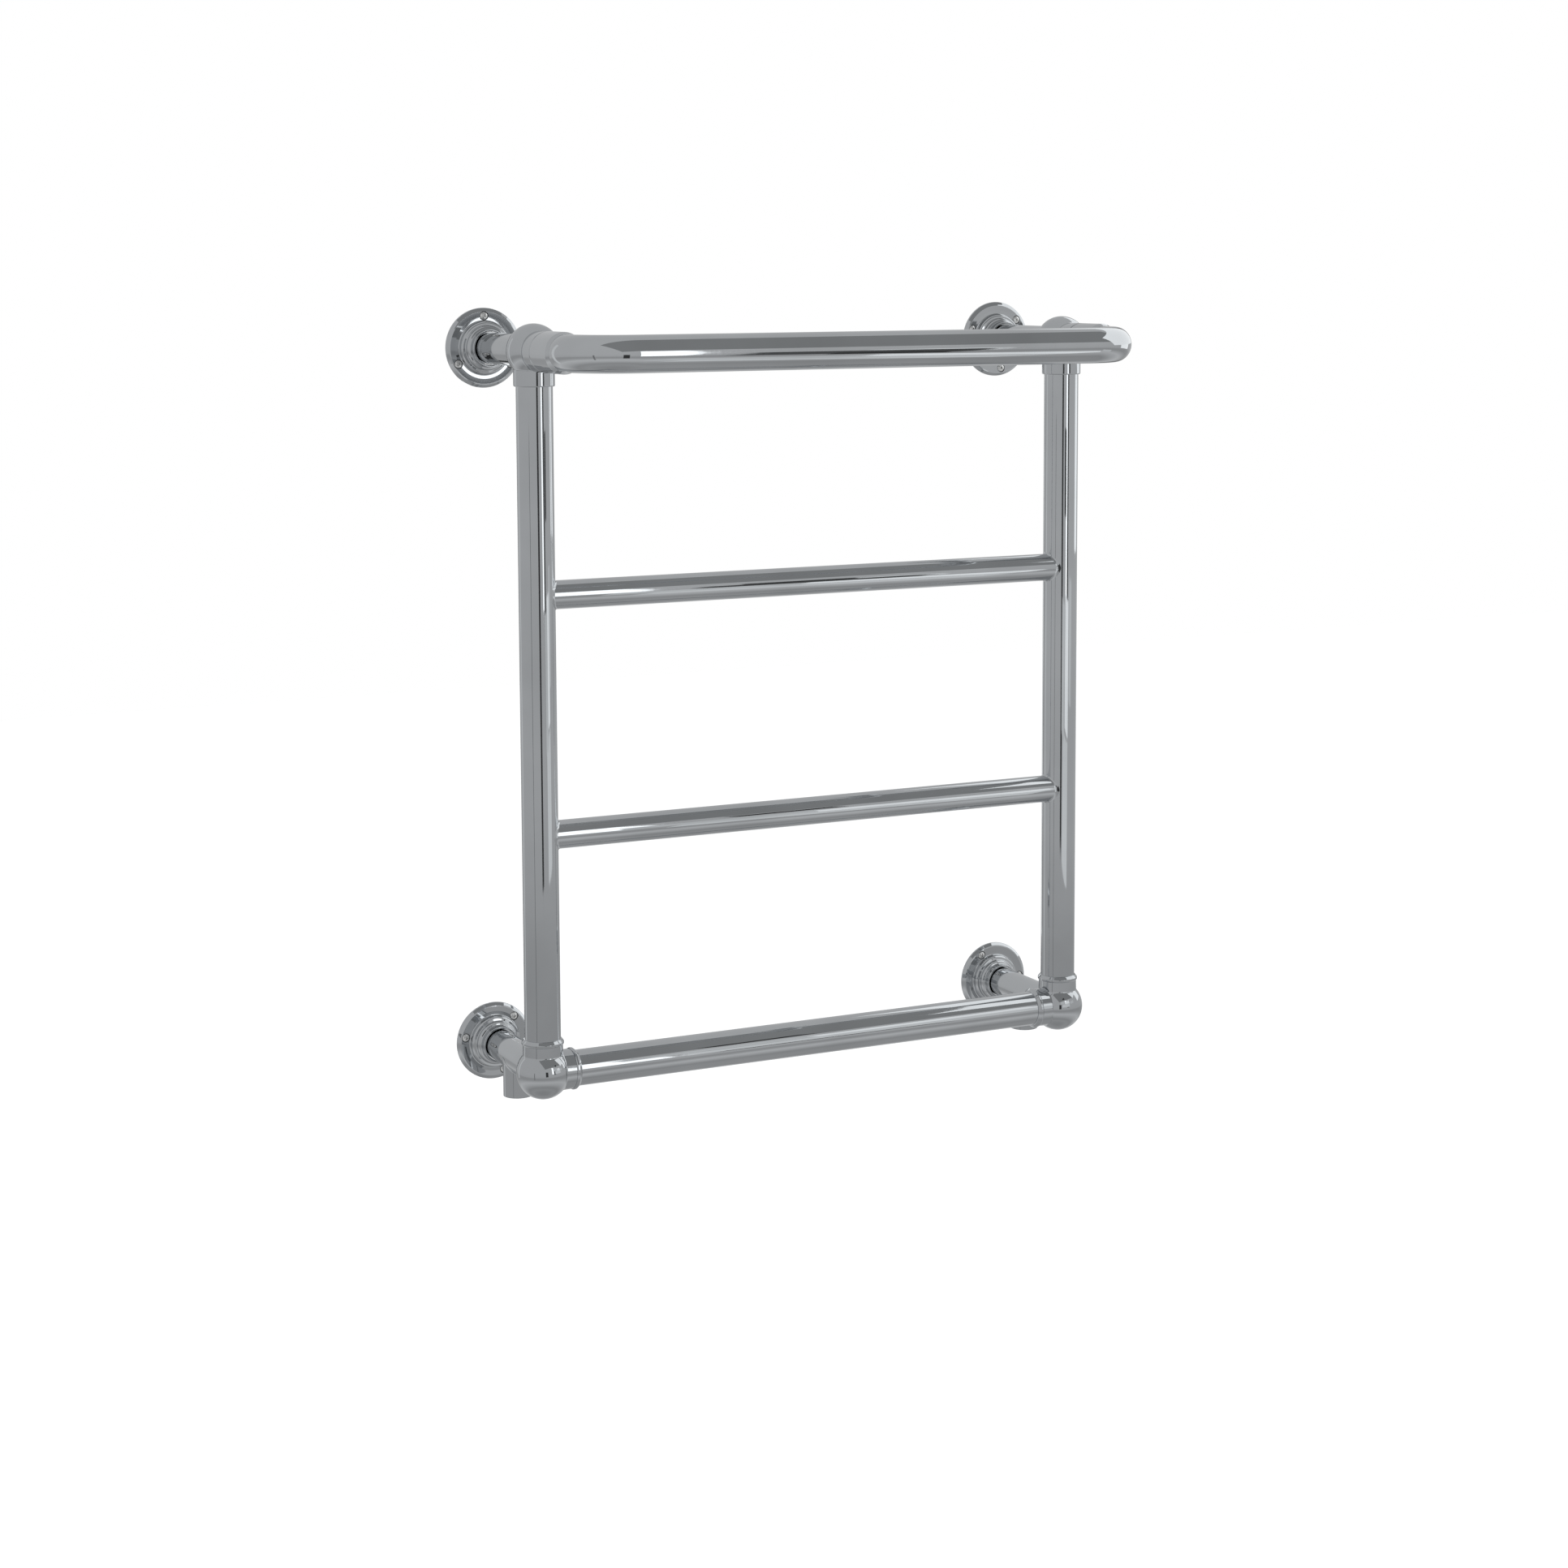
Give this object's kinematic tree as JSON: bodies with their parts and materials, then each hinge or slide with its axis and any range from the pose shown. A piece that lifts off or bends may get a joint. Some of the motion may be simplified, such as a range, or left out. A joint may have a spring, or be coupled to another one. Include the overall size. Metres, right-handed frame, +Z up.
{
  "type": "towel warmer rack",
  "caption": "Wall-hung hot-water towel warmer in polished chrome: ball-jointed tube frame with crossbars, a U-shaped front top rail, round wall flanges and pipe ports underneath.",
  "frame": {"origin": "On the wall plane, midway between the four flanges", "axes": "+Z up, -Y out from the wall into the room, +X to the right seen from the room"},
  "size_m": [0.715, 0.311, 0.8405],
  "materials": {
    "chrome": "polished chrome plate on brass",
    "fastener_steel": "nickel-plated steel",
    "vent_brass": "bare turned brass",
    "seal_rubber": "plain black rubber"
  },
  "bodies": {
    "rack": {"air_vent_body": "chrome", "bottom_left_arm_seal": "seal_rubber", "bottom_left_ball_joint": "chrome", "bottom_left_flange": "chrome", "bottom_left_flange_grub_screw": "fastener_steel", "bottom_left_flange_screw_1": "fastener_steel", "bottom_left_flange_screw_2": "fastener_steel", "bottom_left_flange_screw_3": "fastener_steel", "bottom_left_valve_arm": "chrome", "bottom_rail": "chrome", "bottom_right_arm_seal": "seal_rubber", "bottom_right_ball_joint": "chrome", "bottom_right_flange": "chrome", "bottom_right_flange_grub_screw": "fastener_steel", "bottom_right_flange_screw_1": "fastener_steel", "bottom_right_flange_screw_2": "fastener_steel", "bottom_right_flange_screw_3": "fastener_steel", "bottom_right_valve_arm": "chrome", "left_post": "chrome", "lower_crossbar": "chrome", "right_post": "chrome", "top_left_arm_stud": "fastener_steel", "top_left_ball_joint": "chrome", "top_left_flange": "chrome", "top_left_flange_grub_screw": "fastener_steel", "top_left_flange_screw_1": "fastener_steel", "top_left_flange_screw_2": "fastener_steel", "top_left_flange_screw_3": "fastener_steel", "top_left_rail_ferrule": "chrome", "top_left_wall_arm": "chrome", "top_rail": "chrome", "top_right_arm_stud": "fastener_steel", "top_right_ball_joint": "chrome", "top_right_flange": "chrome", "top_right_flange_grub_screw": "fastener_steel", "top_right_flange_screw_1": "fastener_steel", "top_right_flange_screw_2": "fastener_steel", "top_right_flange_screw_3": "fastener_steel", "top_right_rail_ferrule": "chrome", "top_right_wall_arm": "chrome", "upper_crossbar": "chrome"},
    "vent_spindle": {"air_vent_spindle": "vent_brass"}
  },
  "joints": [
    {"name": "air_vent_turn", "type": "hinge", "parent": "rack", "child": "vent_spindle", "pos_m": [0.34219, -0.13432, 0.3775], "axis": [0.9063, 0.4226, 0], "range_deg": [0, 330]}
  ]
}
